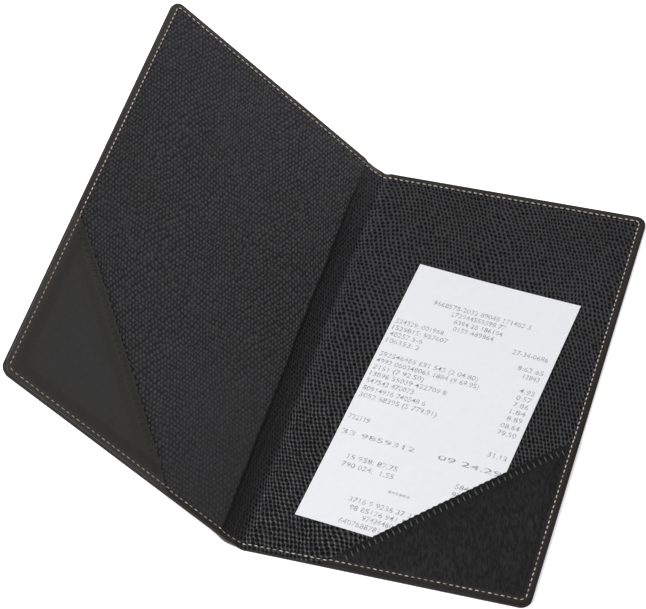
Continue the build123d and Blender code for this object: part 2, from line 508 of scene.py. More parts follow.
class Finish(Nodes):
    """The nodes of a new material, with its shader and its object coordinates."""

    def __init__(self, name):
        self.material = bpy.data.materials.new(name)
        self.material.use_nodes = True
        super().__init__(self.material.node_tree)
        self.tree.nodes.clear()
        self.shader = self.tree.nodes.new("ShaderNodeBsdfPrincipled")
        output = self.tree.nodes.new("ShaderNodeOutputMaterial")
        self.tree.links.new(self.shader.outputs[0], output.inputs["Surface"])
        self.place = self.add("TexCoord")["Object"]

    def attribute(self, name):
        """The vector of a vertex attribute."""
        return self.add("Attribute", attribute_name=name)["Vector"]

    def pores(self, pore_scale, cloud_scale):
        """The leather pores at this material's own scales."""
        scales = {"Pore_scale": pore_scale, "Cloud_scale": cloud_scale}
        return self.group(pore_group(), Place=self.place, **scales)

    def bump(self, height, depth):
        """Feeds a height, 0 to 1, to the shader's normal as relief of depth metres."""
        normal = self.add("Bump", {"Height": height, "Distance": depth, "Strength": 1.0})
        self.tree.links.new(normal[0], self.shader.inputs["Normal"])

    def done(self, **sockets):
        """Feeds the shader's other inputs and gives the material."""
        for key, value in sockets.items():
            self.feed(self.shader.inputs[key.replace("_", " ")], value)
        return self.material


def shared_group(name, inputs, fill):
    """A node group, made at its first use. Its inputs are numbers, or None for a vector,
    and fill(nodes, source) gives the socket behind each of its outputs."""
    if name in bpy.data.node_groups:
        return bpy.data.node_groups[name]
    tree = bpy.data.node_groups.new(name, "ShaderNodeTree")
    for key, value in inputs.items():
        kind = "NodeSocketVector" if value is None else "NodeSocketFloat"
        socket = tree.interface.new_socket(name=key, in_out="INPUT", socket_type=kind)
        if value is not None:
            socket.default_value = value
    results = fill(Nodes(tree), tree.nodes.new("NodeGroupInput").outputs)
    for key in results:
        tree.interface.new_socket(name=key, in_out="OUTPUT", socket_type="NodeSocketFloat")
    sink = tree.nodes.new("NodeGroupOutput").inputs
    for key, value in results.items():
        tree.links.new(value, sink[key])
    return tree


def fill_scales(n, source):
    """Works out the embossed scales' group: see scale_group()."""
    wander = n.noise(source["Cells"], 0.7, detail=1.0, output="Color")
    wander = n.vector("SUBTRACT", wander, (0.5, 0.5, 0.5))
    wander = n.vector("MULTIPLY", wander, (CELL_WOBBLE, CELL_WOBBLE, 0.0))
    cells = n.split(n.vector("ADD", source["Cells"], wander))
    along = n.scaled(cells["Y"], 0.5, cells["X"])
    corner = {0: n.math("FLOOR", along), 1: n.math("FLOOR", cells["Y"])}
    chance = n.add("TexWhiteNoise", {0: n.add("CombineXYZ", corner)[0]})["Color"]
    chances = n.add("SeparateColor", {0: chance})
    sides = []
    for value, lot in ((along, chances[0]), (cells["Y"], chances[1])):
        centre = n.times(n.minus(lot, 0.5), CELL_SHIFT)
        sides.append(n.math("ADD", n.off_centre(value), centre))
    across = n.times(n.scaled(sides[1], -0.5, sides[0]), 2.1)
    upward = n.times(sides[1], source["Squat"])
    away = n.times(across, upward, source["Lean"])
    for value in (across, upward):
        away = n.scaled(value, value, away)
    away = n.math("SQRT", n.math("MAXIMUM", away, 0.0))
    away = n.scaled(n.minus(chances[2], 0.5), CELL_SPREAD, away)
    mask = n.remap(away, n.times(source["Reach"], 0.5), source["Reach"], 1.0, 0.0)
    share = n.math("DIVIDE", away, n.math("ADD", source["Reach"], 0.2))
    dome = n.minus(1.0, n.times(share, share), clamp=True)
    side, between = (n.math("ABSOLUTE", n.off_centre(value)) for value in (along, cells["Y"]))
    return {
        "Mask": mask,
        "Height": n.scaled(mask, 0.4, n.times(dome, 0.6)),
        "Side": n.remap(side, 0.2, 0.44),
        "Node": n.remap(between, 0.18, 0.4),
        "Random": chances[1],
    }


def scale_group():
    """Embossed scales: rounded cells in rows, each row half a cell further on, so that
    the network's long lines run slantwise. Each cell is a little shifted and sized by its
    own random numbers. Gives the mask of the scales' tops, their domed height, how near a
    point is to the long lines and to the gap between rows, and a random number."""
    inputs = {"Cells": None, "Reach": 0.78, "Lean": 0.3, "Squat": 2.0}
    return shared_group("Embossed scales", inputs, fill_scales)


def fill_pores(n, source):
    """Works out the leather pores' group: see pore_group()."""
    place, scale = source["Place"], source["Pore scale"]
    pores = n.add("TexVoronoi", {"Vector": place, "Scale": scale})["Distance"]
    grain = n.noise(place, scale, detail=2.0)
    return {
        "Height": n.scaled(pores, 0.6, n.times(grain, 0.4)),
        "Cloud": n.noise(place, source["Cloud scale"], detail=4.0),
        "Fleck": n.remap(grain, 0.52, 0.72),
    }


def pore_group():
    """Natural leather: fine pores, slow cloudy variation and small flecks."""
    inputs = {"Place": None, "Pore scale": 1400.0, "Cloud scale": 30.0}
    return shared_group("Leather pores", inputs, fill_pores)


# ------------------------------------------------------------------ materials
def lining_leather(colours, front):
    """Black embossed lining: one leather on both covers, whose colours carry painted light. On
    the back cover the scales' tops are polished black in a duller network that is painted lighter
    as a painted reflection, growing crisper towards the foot, with painted glints at its nodes.
    On the front cover the tops carry a painted sheen and the network is dark."""
    n = Finish("front_lining_leather" if front else "back_lining_leather")
    cells = n.attribute("grain")
    grain, zone = n.split(cells), n.split(n.attribute("zone"))
    lean, squat = (-0.1, 1.8) if front else (0.3, 2.0)
    reach = n.scaled(zone["Z"], 0.07, 0.95)
    scales = n.group(scale_group(), Cells=cells, Reach=reach, Lean=lean, Squat=squat)
    pores = n.pores(2600.0, 24.0)
    headwards = n.split(n.place)["Y"]
    mask = scales["Mask"]
    if front:
        # Painted sheen: the front cover's tops are painted lighter than its network, a lit copy
        # of the back's colours; the grain is painted fainter towards the foot and the spine, and
        # the whole is lighter towards the head.
        mask = n.math("ADD", mask, n.times(n.minus(0.5, mask), zone["Z"]))
        top = n.shades(scales["Random"], colours.front_top, 0.75, 1.3)
        base = n.mix(mask, rgba(colours.front_groove), top)
        base = n.tint(base, n.remap(headwards, 0.03, 0.115, 1.0, 1.22))
        polish, painted_margin_light = mask, 1.85
    else:
        # Painted reflection: the back cover's network is painted lighter than its black tops,
        # lighter still along the long slant lines whose walls face the light, and crisper towards
        # the foot and the spine.
        top = n.shades(scales["Random"], colours.lining, 0.6, 1.5)
        top = n.mix(zone["Z"], top, rgba(colours.lining, 0.35))
        side = n.times(n.math("ADD", zone["Z"], 0.55, clamp=True), scales["Side"])
        line = n.shades(side, colours.lining_groove, 0.76, 1.45)
        line = n.tint(line, n.remap(zone["Z"], 0.05, 0.6, 1.0, 0.78))
        base = n.mix(mask, line, top)
        # Painted highlights: glints at the network's nodes, strongest where the grain is crisp,
        # in the glints' colour.
        glint_mask = n.times(n.math("POWER", zone["Z"], 2.5), n.remap(scales["Random"], 0.3, 0.75))
        glint_mask = n.times(glint_mask, scales["Side"], scales["Node"], n.minus(1.0, mask))
        base = n.mix(glint_mask, base, rgba(colours.lining_spots))
        polish, painted_margin_light = glint_mask, 1.05
    # Over the soft spine the same painted reflection: the network painted lighter, the tops
    # darker.
    base = n.mix(zone["X"], base, n.shades(mask, colours.spine, 1.5, 0.62))
    # Painted light: the margin outside the seam is painted lighter on the front cover and towards
    # the head.
    painted_margin_light = n.remap(headwards, -0.08, 0.1, 0.92 * painted_margin_light, 1.6 * painted_margin_light)
    base = n.mix(grain["Z"], n.tint(rgba(colours.margin), painted_margin_light), base)
    # Painted shade: darker in the creases and along the edge; below 0 a painted highlight,
    # lighter on the back board's edge ridge and the spine towards the head.
    base = n.mix(zone["Y"], base, (0.0012, 0.0012, 0.0013, 1))
    base = n.tint(base, n.remap(zone["Y"], 0.0, -1.0, 1.0, 1.7, kind="LINEAR"))
    base = n.tint(base, n.remap(pores["Cloud"], 0.3, 0.7, 0.88, 1.1, kind="LINEAR"))
    rough = n.scaled(pores["Cloud"], 0.12, 0.66)
    polish = n.times(polish, n.minus(1.0, zone["X"]), grain["Z"], 0.55)
    height = n.times(scales["Height"], grain["Z"])
    n.bump(n.scaled(pores["Height"], 0.08, height), 0.0002)
    return n.done(
        Base_Color=base, Roughness=rough, Specular_IOR_Level=0.1, Coat_Weight=polish,
        Coat_Roughness=0.3,
    )


def outer_leather(colours):
    """Smooth black outer leather with fine pores and a lighter, rubbed edge."""
    n = Finish("smooth_outer_leather")
    zone = n.split(n.attribute("zone"))
    pores = n.pores(1100.0, 18.0)
    base = n.shades(pores["Cloud"], colours.outer, 0.7, 1.3)
    base = n.mix(zone["X"], base, rgba(colours.margin, 0.8))
    rough = n.scaled(pores["Fleck"], 0.08, n.scaled(pores["Cloud"], 0.22, 0.4))
    n.bump(pores["Height"], 0.00012)
    return n.done(Base_Color=base, Roughness=rough, Specular_IOR_Level=0.45)


def pocket_leather(colours):
    """Smooth satin leather of the front pocket, cloudy, with a faintly blue painted sheen in its
    middle, painted shade over its hem and edge, and its sewn border painted lighter than the
    margin's colour.
    """
    n = Finish("front_pocket_satin_leather")
    zone = n.split(n.attribute("zone"))
    pores = n.pores(1900.0, 26.0)
    # Painted sheen: a faint bluish reflection, cloudy, in the pocket's middle.
    middle = n.times(zone["Y"], pores["Cloud"])
    base = n.mix(middle, rgba(colours.front_pocket), (0.0215, 0.0235, 0.027, 1))
    # Painted shade: darker over the hem band, between the hem stitches and along the edge.
    base = n.mix(zone["Z"], base, n.tint(base, (0.74, 0.72, 0.7, 1)))
    mottle = n.noise(n.place, 420.0, detail=4.0, roughness=0.7)
    base = n.tint(base, n.remap(mottle, 0.3, 0.7, 0.84, 1.16, kind="LINEAR"))
    # The sewn border in the margin's colour, painted lighter by 1.4 as on the front cover's
    # lining margin: painted light.
    base = n.mix(zone["X"], base, rgba(colours.margin, 1.4))
    rough = n.scaled(pores["Cloud"], 0.2, 0.46)
    n.bump(pores["Height"], 0.00005)
    return n.done(Base_Color=base, Roughness=rough, Specular_IOR_Level=0.4)


def pocket_suede(colours):
    """Brushed nap of the back pocket: streaks that lie one way, with lighter wisps."""
    n = Finish("back_pocket_brushed_suede")
    zone = n.split(n.attribute("zone"))
    lay = {"Vector": n.place, "Rotation": (0.0, 0.0, radians(17)), "Scale": (1.0, 4.0, 1.0)}
    lay = n.add("Mapping", lay, vector_type="TEXTURE")[0]
    streak = n.noise(lay, 1150.0, detail=3.0, roughness=0.65)
    wisp = n.noise(n.place, 55.0, detail=5.0, roughness=0.65)
    base = n.shades(n.remap(streak, 0.32, 0.7), colours.back_pocket, 0.3, 1.9)
    base = n.tint(base, n.remap(wisp, 0.3, 0.7, 0.8, 1.25))
    base = n.mix(zone["X"], base, rgba(colours.margin))
    # Painted shade: near black over the hem band, between the hem stitches and along the edge.
    base = n.mix(zone["Z"], base, (0.0016, 0.0016, 0.0017, 1))
    rough = n.scaled(wisp, 0.2, 0.66)
    n.bump(streak, 0.00015)
    return n.done(
        Base_Color=base, Roughness=rough, Specular_IOR_Level=0.2, Sheen_Weight=0.05,
        Sheen_Roughness=0.5,
    )


def thread(name, colour, second, rough, sheen):
    """Twisted thread of two plies. Each stitch has its own shade between colour and
    second, with painted shade in the grooves between its plies and where its ends dive into their
    holes."""
    n = Finish(name)
    twist = n.split(n.attribute("twist"))
    turns = n.times(n.scaled(twist["X"], 0.9, twist["Y"]), 4 * pi)
    ply = n.remap(n.math("SINE", turns), -1, 1)
    fibre = n.noise(n.place, 5200.0, detail=2.0)
    base = n.mix(n.remap(twist["Z"], 0.45, 1.0), rgba(colour), rgba(second))
    # Painted shade: darker towards each stitch's ends, where they dive into their holes, and in
    # the grooves between the plies.
    end = n.remap(n.math("ABSOLUTE", twist["X"]), 0.35, 1.0, 1.0, 0.3)
    base = n.tint(base, n.times(n.scaled(ply, 0.25, 0.78), end))
    n.bump(n.scaled(fibre, 0.35, ply), 0.00004)
    rough = n.scaled(fibre, 0.15, rough)
    return n.done(Base_Color=base, Roughness=rough, Specular_IOR_Level=sheen)


def board_fibre(colours):
    """Grey fibre board with pressed layers, its cut edge inked dark."""
    n = Finish("inked_fibre_board")
    layers = n.add("Mapping", {"Vector": n.place, "Scale": (1, 1, 9)})[0]
    fibre = n.noise(layers, 420.0, detail=5.0, roughness=0.65)
    base = n.shades(fibre, colours.board_ink, 0.6, 1.7)
    rough = n.scaled(fibre, 0.2, 0.72)
    n.bump(fibre, 0.0001)
    return n.done(Base_Color=base, Roughness=rough, Specular_IOR_Level=0.2)


def check_paper(colours):
    """White till paper: faint fibre mottle and a smooth, slightly glossy coating."""
    n = Finish("till_paper")
    mottle = n.noise(n.place, 260.0, detail=5.0, roughness=0.7)
    shade = n.remap(mottle, 0.3, 0.7, 0.965, 1.0, kind="LINEAR")
    base = n.tint(rgba(colours.paper), shade)
    rough = n.scaled(mottle, 0.15, 0.5)
    n.bump(mottle, 0.00002)
    return n.done(Base_Color=base, Roughness=rough, Specular_IOR_Level=0.35)


def print_ink(colours):
    """Grey thermal print, patchy where the head skipped."""
    n = Finish("thermal_print")
    patch = n.noise(n.place, 900.0, detail=3.0)
    base = n.shades(n.remap(patch, 0.35, 0.65), colours.ink, 0.8, 2.6)
    rough = n.scaled(patch, 0.1, 0.5)
    return n.done(Base_Color=base, Roughness=rough, Specular_IOR_Level=0.3)


def floor_paint():
    """Plain white studio floor with a very faint mottle and a little light of its own."""
    n = Finish("studio_floor")
    mottle = n.noise(n.place, 5.0, detail=2.0)
    base = n.mix(mottle, (0.93, 0.93, 0.93, 1), (0.95, 0.95, 0.95, 1))
    return n.done(
        Base_Color=base, Roughness=0.9, Specular_IOR_Level=0.1,
        Emission_Color=(1, 1, 1, 1), Emission_Strength=0.6,
    )


# ------------------------------------------------------------------ user properties
def length_property(name, description, default_mm):
    """A length property: its default is given in mm and held in metres."""
    return FloatProperty(
        name=name, description=description, default=default_mm * MM, min=0.0,
        unit="LENGTH", subtype="DISTANCE", precision=5,
    )


def colour_property(name, description, default):
    """A colour property without alpha."""
    return FloatVectorProperty(
        name=name, description=description, default=default, size=3,
        min=0.0, max=1.0, subtype="COLOR",
    )


class PresenterSizes(bpy.types.PropertyGroup):
    """Sizes of the presenter's finishing work."""

    seam_margin: length_property("Seam margin", "From the edge to the seam", 2.5)
    stitch_pitch: length_property("Stitch pitch", "From one seam stitch to the next", 2.85)
    stitch_length: length_property("Stitch length", "Thread that shows in a stitch", 2.05)
    thread_width: length_property("Thread width", "Width of the seam thread", 0.52)
    scale_width: length_property("Scale width", "Width of one embossed scale", 2.22)
    relief: length_property("Scale relief", "Height of the embossed scales", 0.07)
    hem_width: length_property("Hem width", "Width of the pocket's turned hem", 8.0)
    hem_line: length_property("Hem stitch line", "From the hem's fold to its stitches", 3.0)
    hem_pitch: length_property("Hem stitch pitch", "From one hem stitch to the next", 2.98)
    hem_stitch: length_property("Hem stitch length", "Length of a hem stitch", 3.9)
    check_width: length_property("Check width", "Width of the guest check", 80.0)
    check_length: length_property("Check length", "Length of the guest check", 154.5)
    hem_slant: FloatProperty(
        name="Hem stitch slant", description="Turn of the hem stitches from square",
        default=radians(-8), unit="ROTATION", subtype="ANGLE",
    )
    seed: IntProperty(name="Seed", description="Seed of the stitches' unevenness", default=7)


class PresenterColours(bpy.types.PropertyGroup):
    """Colours of the presenter's finishes."""

    # The back and front scale and network colours are lit and shaded copies of one black leather:
    # the back's lighter network is a painted reflection and its glints are painted highlights;
    # the front's lighter tops are a painted sheen.
    lining: colour_property("Back scales", "Polished scale tops", (0.0045, 0.0045, 0.005))
    lining_groove: colour_property("Back network", "Between the scales", (0.0445, 0.0445, 0.0477))
    lining_spots: colour_property("Back glints", "Lit nodes", (0.225, 0.225, 0.231))
    front_top: colour_property("Front scales", "Soft scale tops", (0.0256, 0.0254, 0.0278))
    front_groove: colour_property("Front network", "Between them", (0.0203, 0.0201, 0.0221))
    spine: colour_property("Spine", "Lining over the soft spine", (0.0188, 0.0188, 0.0203))
    margin: colour_property("Margin", "Leather outside the seam", (0.021, 0.0193, 0.0168))
    outer: colour_property("Outer leather", "Outer skin", (0.020, 0.0195, 0.020))
    front_pocket: colour_property("Front pocket", "Satin pocket", (0.0205, 0.0195, 0.0177))
    back_pocket: colour_property("Back pocket", "Brushed pocket", (0.0095, 0.0095, 0.01))
    board_ink: colour_property("Board edge", "Inked edge of the board", (0.03, 0.028, 0.026))
    seam_thread: colour_property("Seam thread", "Cream seam thread", (0.7, 0.66, 0.61))
    seam_tan: colour_property("Seam tan", "Rubbed seam stitches", (0.36, 0.31, 0.26))
    hem_thread: colour_property("Hem thread", "Dark hem thread", (0.035, 0.034, 0.034))
    paper: colour_property("Paper", "Guest check paper", (0.82, 0.83, 0.868))
    ink: colour_property("Print", "Thermal print", (0.24, 0.24, 0.25))


def sizes():
    """The scene's size properties."""
    return bpy.context.scene.presenter_sizes


def colours():
    """The scene's colour properties."""
    return bpy.context.scene.presenter_colours


# ------------------------------------------------------------------ outer leather
def outer_skin(front):
    """One half of the outer skin, from mid-spine to the fore-edge, as a closed slab.

    Its inner face is the level h = 0. Its outer face lies OUTER_THICKNESS below, falls
    back in a quarter circle at the edge, has a bell-shaped channel under the seam, bulges
    outwards over the spine and is never below the table."""
    s = stations((MID_SPINE, BEND_HALF, 0.45), (BEND_HALF, COVER_WIDTH - 6, 3.0))
    near_seam = stations((COVER_WIDTH - 6, COVER_WIDTH - EDGE_FINE, 0.35))
    s = joined(s, near_seam, along_edge(122.5, COVER_WIDTH, 0.5))
    half = stations((0, HALF_LENGTH - 6, 3.0), (HALF_LENGTH - 6, HALF_LENGTH - EDGE_FINE, 0.35))
    y = both_ways(joined(half, along_edge(HALF_LENGTH - 2, HALF_LENGTH, 0.5)))
    grid_s, grid_y = np.meshgrid(s, y, indexing="ij")
    e = from_edge(grid_s, grid_y)
    round_s, round_y = round_corners(grid_s, grid_y)
    place_s = mirrored(round_s, front)
    channel = 0.3 * bell(e, seam_inset(place_s, round_y), 0.55)
    bulge = 1.1 * bell(place_s, -SPINE_WIDTH, 4.5) * smooth((-1.5 - place_s) / 4)
    top = fold(place_s, round_y, -0.002 + 0 * e)
    bottom = fold(place_s, round_y, edge_drop(e) + channel - OUTER_THICKNESS - bulge)
    bottom[..., 2] = np.maximum(bottom[..., 2], 0.0)
    verts, faces = slab(top, bottom, np.arange(len(s)), np.arange(len(y)), flip=front)
    rub = bell(e, 0.1, 0.5)
    zone = np.stack([rub, 0 * rub, 0 * rub], -1).reshape(-1, 3)
    return verts, faces, np.concatenate([zone, zone])


class PRESENTER_OT_outer_leather(bpy.types.Operator):
    """Cut the outer skin in two halves that meet at the middle of the spine"""

    bl_idname = "presenter.outer_leather"
    bl_label = "Outer leather"

    def execute(self, context):
        material = outer_leather(colours())
        for side, front in SIDES:
            verts, faces, zone = outer_skin(front)
            name = side + "_outer_skin"
            piece = new_piece(name, verts, faces, material, "outer_leather", zone=zone)
            bend(piece, front)
            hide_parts(side + "_outer_leather", "spine_outer_leather")
        return {"FINISHED"}


# ------------------------------------------------------------------ boards
class PRESENTER_OT_boards(bpy.types.Operator):
    """Give the stiff boards their fibre and their inked edge"""

    bl_idname = "presenter.boards"
    bl_label = "Boards"

    def execute(self, context):
        material = board_fibre(colours())
        for node in ("back_board", "front_board"):
            slots = frame["nodes"][node].material_slots
            if not slots:
                raise RuntimeError(node + " has no material slot")
            for slot in slots:
                slot.material = material
        return {"FINISHED"}


# ------------------------------------------------------------------ lining
def lining_sheet(front):
    """One half of the embossed lining, from mid-spine to the fore-edge.

    Its upper face is lining_level() less the seam's dip and the rounding of its edge,
    plus relief times scale_relief() and the spine's wrinkles. Its lower face lies on the
    board, and over the soft spine just above the outer leather. Two vectors go with each
    point: the scales' coordinates and the grain's strength, and the soft zone, the painted
    shade of creases and of the edge (below 0 a painted highlight that lightens) and the
    grain's contrast for the painted reflection."""
    over_cover = (SPINE_END, COVER_WIDTH - EDGE_FINE, COVER_STEP)
    s = stations((MID_SPINE, SPINE_END, SPINE_STEP), over_cover)
    s = joined(s, along_edge(COVER_WIDTH - 2, COVER_WIDTH, 0.6))
    y = both_ways(along_edge(0.0, HALF_LENGTH, LENGTH_STEP))
    flat_s, flat_y = np.meshgrid(s, y, indexing="ij")
    e = from_edge(flat_s, flat_y)
    round_s, round_y = round_corners(flat_s, flat_y)
    at = mirrored(round_s, front)
    soft = soft_zone(at, round_y)
    strength = grain_strength(at, round_y)
    p, q = scale_coordinates(at, round_y, sizes().scale_width / MM)
    upper = lining_level(at, round_y) - edge_drop(e) - seam_press(e, at, round_y)
    relief = sizes().relief / MM * strength * (scale_relief(p, q) - 1)
    upper = upper + relief * (1 - 0.5 * soft)
    upper = upper + soft * smooth((e - 0.4) / 3) * wrinkles(at, round_y)
    columns = every(len(s), 18, keep_low=34, keep_high=16)
    rows = every(len(y), 18, keep_low=16, keep_high=16)
    pick = np.ix_(columns, rows)
    board = FRONT_BOARD_START if front else BACK_BOARD_START
    outwards = np.abs(at - MID_SPINE) + MID_SPINE
    under = 0.03 + (BOARD_TOP - 0.05) * smooth((outwards - board + 0.4) / 0.4)
    lower = np.minimum(under, upper - 0.15)[pick]
    top = fold(at, round_y, upper)
    bottom = fold(at[pick], round_y[pick], lower)
    verts, faces = slab(top, bottom, columns, rows, flip=front)
    # Painted shade and highlight for the lining's colour: shade in the crease at the foot of the
    # front board's shelf and along the edge, below 0 a highlight on the ridge over the back
    # board's edge and over the spine towards the head; on the front cover a painted shadow line
    # just outside the pocket's fold.
    crease = 0.12 * bell(front_shelf(at, round_y), -0.9, 1.9) * smooth((e - 2.5) / 4)
    head = smooth((round_y - 60) / 45)
    crease = crease * (1 - head) - (0.25 + 0.35 * head) * bell(at, 0.4, 2.4)
    crease = crease - 0.95 * soft * head + 0.3 * bell(e, 0, 1.0)
    if front:
        inside = POCKET_LEG - (COVER_WIDTH - outwards) - (round_y + HALF_LENGTH)
        shadow = 0.75 * bell(inside / ROOT_TWO, -0.5, 0.6)
        crease = crease + shadow * smooth((e - 1.5) / 1.5)
    looks = []
    for parts in ((p, q, strength), (soft, crease, grain_contrast(at, round_y))):
        look = np.stack(parts, -1)
        looks.append(np.concatenate([look.reshape(-1, 3), look[pick].reshape(-1, 3)]))
    return verts, faces, *looks


class PRESENTER_OT_lining(bpy.types.Operator):
    """Lay the embossed lining over the boards and down into the spine"""

    bl_idname = "presenter.lining"
    bl_label = "Lining"

    def execute(self, context):
        for side, front in SIDES:
            verts, faces, grain, zone = lining_sheet(front)
            piece = new_piece(
                side + "_lining_sheet", verts, faces, lining_leather(colours(), front),
                "lining", grain=grain, zone=zone,
            )
            bend(piece, front)
            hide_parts(side + "_lining", "spine_lining")
        return {"FINISHED"}


# ------------------------------------------------------------------ pockets
def pocket_outline():
    """The pocket's section square to its diagonal, as (m, layer) rows from the corner
    over the top, round the fold, back under the hem, up its cut edge and back again.

    m is the distance from the fold, mm. layer is 1 on the outer face, 0 on its inner
    face, and -1 on the hem's inner face."""
    far = POCKET_REACH - (ROOT_TWO - 1) * CORNER_RADIUS - 0.05
    hem = sizes().hem_width / MM
    close = far - np.array([0.0, 0.05, 0.15, 0.35, 0.7, 1.2, 1.8, 2.5, 3.3, 4.2])
    top = np.concatenate([close, stations((FOLD_RADIUS, far - 5.2, 0.75))[::-1]])
    arc = np.linspace(pi / 2, -pi / 2, 9)[1:-1]
    under = stations((FOLD_RADIUS, hem, 0.9))
    back = np.concatenate([stations((hem + 0.02, far - 5.2, 1.6)), close[::-1]])
    m = np.concatenate([top, FOLD_RADIUS * (1 - np.cos(arc)), under, back])
    layers = (1 + 0 * top, np.sin(arc), 0 * under - 1, 0 * back)
    return m, np.concatenate(layers)


def fold_bow(m, w):
    """How far the pocket's free edge bows out at a share w of its half length, mm, at a
    distance m in from its fold."""
    return (0.65 * (1 - w**2) - 0.3) * np.exp(-m / 14)


def from_corner_axes(inner, across):
    """The s and y of a place that lies inner from the foot corner of the fore-edge, along
    the corner's middle line, and across to the side of it."""
    s = COVER_WIDTH - (inner - across) / ROOT_TWO
    return s, -HALF_LENGTH + (inner + across) / ROOT_TWO


def pocket_risen(e):
    """How far the pocket has risen from its sewn border, 0 to 1, at e in from the edge."""
    return smooth((e - SEWN_BORDER) / RISE_RUN)


def pocket_grid():
    """The pocket's grid laid flat, as m, layer, s, y, e and tug.

    Each row of the outline is drawn out along the diagonal between the foot and the
    fore-edge, w from -1 to 1, and narrows to the rounded corner. e is the distance in
    from the edge, and tug is 1 at each hem stitch and -1 between two."""
    m, layer = pocket_outline()
    inner = POCKET_REACH - m
    chord = CORNER_RADIUS**2 - (CORNER_RADIUS * ROOT_TWO - inner) ** 2
    round_half = np.sqrt(np.clip(chord, 0.01, None))
    half = np.where(inner > CORNER_RADIUS / ROOT_TWO, inner, round_half)
    w = np.linspace(-1, 1, 231)
    edge = 1 - np.array([0.0, 0.0012, 0.004, 0.009, 0.017])
    w = joined(w[(w > -edge[-1]) & (w < edge[-1])], edge, -edge)
    across = half[:, None] * w[None, :]
    m, layer = m[:, None] + 0 * across, layer[:, None] + 0 * across
    slant = np.tan(sizes().hem_slant) * (m - sizes().hem_line / MM)
    tug = np.cos(2 * pi * ((across + slant) * MM / sizes().hem_pitch + 0.5))
    inner = inner[:, None] + fold_bow(m, w[None, :]) - NOTCH_DEPTH * tug * np.exp(-m / 1.5)
    s, y = from_corner_axes(inner, across)
    e = np.minimum(COVER_WIDTH - s, y + HALF_LENGTH)
    over_s, over_y = s - COVER_WIDTH + CORNER_RADIUS, -y - HALF_LENGTH + CORNER_RADIUS
    tip = np.hypot(np.clip(over_s, 0, None), np.clip(over_y, 0, None))
    e = np.where((over_s > 0) & (over_y > 0), CORNER_RADIUS - tip, e)
    return m, layer, s, y, np.clip(e, 0, None), tug


def pocket_shell(front):
    """A corner pocket as a closed shell.

    Its height is the sewn border's, plus the pocket's rise times a smoothstep of the
    distance in from the border, with the hem standing proud of the leather behind it and
    a dent at each hem stitch."""
    m, layer, s, y, e, tug = pocket_grid()
    risen = pocket_risen(e)
    behind = smooth((m - sizes().hem_width / MM + 0.6) / 3.0)
    sag = risen * behind * (0.22 + 0.3 * smooth((m - 10) / 22))
    sag = sag + 0.05 * risen * wave_sum(s, y, [(1.0, 37, 30, 0.3), (0.7, 22, -60, 1.0)])
    outer = LINING_TOP + POCKET_LEATHER + POCKET_RISE * risen - sag
    inner_face = outer - POCKET_LEATHER
    hem_face = np.maximum(LINING_TOP + 0.02, inner_face - POCKET_LEATHER * risen)
    line = sizes().hem_line / MM
    dent = 0.16 * bell(m, line, 1.3) * (0.65 + 0.35 * tug) - 0.06 * bell(m, line + 3, 1)
    drop = edge_drop(e, POCKET_EDGE_ROUND) + seam_press(e, mirrored(s, front), y)
    upper = outer - dent * risen - drop
    middle = (upper + hem_face) / 2
    above, below = np.clip(layer, 0, 1), np.clip(-layer, 0, 1)
    on_fold = (m < FOLD_RADIUS + 1e-6) & (np.abs(layer) < 0.999)
    h = np.where(layer > 0.999, upper, np.where(layer < -0.999, hem_face, inner_face))
    bend_h = middle + (upper - middle) * above + (hem_face - middle) * below
    points = fold(mirrored(s, front), y, np.where(on_fold, bend_h, h))
    rows, columns = points.shape[:2]
    index = np.arange(rows * columns).reshape(rows, columns)
    faces = quads_of(np.concatenate([index, index[:1]]), flip=front).tolist()
    ends = (index[::-1, 0].tolist(), index[:, -1].tolist())
    faces += [end[::-1] if front else end for end in ends]
    # Painted light for the pockets' colour: the zone's Y is a painted sheen in the middle, its Z
    # painted shade over the hem band, between the hem stitches and along the edge.
    painted_sheen_zone = risen * smooth((m - 9) / 12) * smooth((e - 9) / 16)
    painted_hem_shade = 0.3 * smooth((9.5 - m) / 2) * risen
    painted_hem_shade = painted_hem_shade + 0.6 * bell(m, line - 0.8, 2.0) * (0.5 - 0.5 * tug) * risen
    painted_hem_shade = painted_hem_shade + 0.5 * bell(e, 0, 0.9)
    zone = np.stack([1 - smooth((e - 2.4) / 2.2), painted_sheen_zone, painted_hem_shade], -1)
    return points, faces, zone.reshape(-1, 3)


class PRESENTER_OT_pockets(bpy.types.Operator):
    """Sew a hemmed corner pocket into each cover"""

    bl_idname = "presenter.pockets"
    bl_label = "Corner pockets"

    def execute(self, context):
        finishes = (
            ("back", False, pocket_suede(colours()), "back_pocket_suede"),
            ("front", True, pocket_leather(colours()), "front_pocket_leather"),
        )
        for side, front, material, slot in finishes:
            verts, faces, zone = pocket_shell(front)
            name = side + "_corner_pocket"
            piece = new_piece(name, verts, faces, material, slot, sharp=55, zone=zone)
            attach(piece, side + "_cover")
            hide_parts(side + "_pocket")
        return {"FINISHED"}


